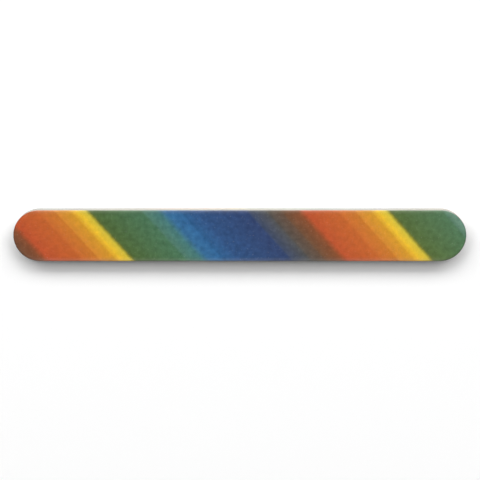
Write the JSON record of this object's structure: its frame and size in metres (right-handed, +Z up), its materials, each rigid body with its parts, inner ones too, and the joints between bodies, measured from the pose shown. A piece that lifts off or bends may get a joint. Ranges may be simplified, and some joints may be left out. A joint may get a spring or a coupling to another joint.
{
  "type": "emery board",
  "caption": "Flat cushioned nail file with round ends: a stiff core between foam cushions, faced on both sides with a printed abrasive sheet in slanting rainbow stripes.",
  "frame": {"origin": "middle of the lower face, which is the face that the board lies on", "axes": "+X along the board, +Y across it, +Z up through its layers"},
  "size_m": [0.178, 0.0204, 0.0044],
  "materials": {
    "core": "satin",
    "glue": "satin",
    "foam": "matte",
    "paper": "matte",
    "print": "satin",
    "coarse_grit": "matte",
    "fine_grit": "satin"
  },
  "bodies": {
    "root": {"core_board": "core", "upper_core_glue": "glue", "lower_core_glue": "glue", "upper_foam": "foam", "lower_foam": "foam", "upper_sheet_glue": "glue", "lower_sheet_glue": "glue", "upper_paper": "paper", "lower_paper": "paper", "upper_print": "print", "lower_print": "print", "upper_grit": "coarse_grit", "lower_grit": "fine_grit"}
  },
  "joints": []
}
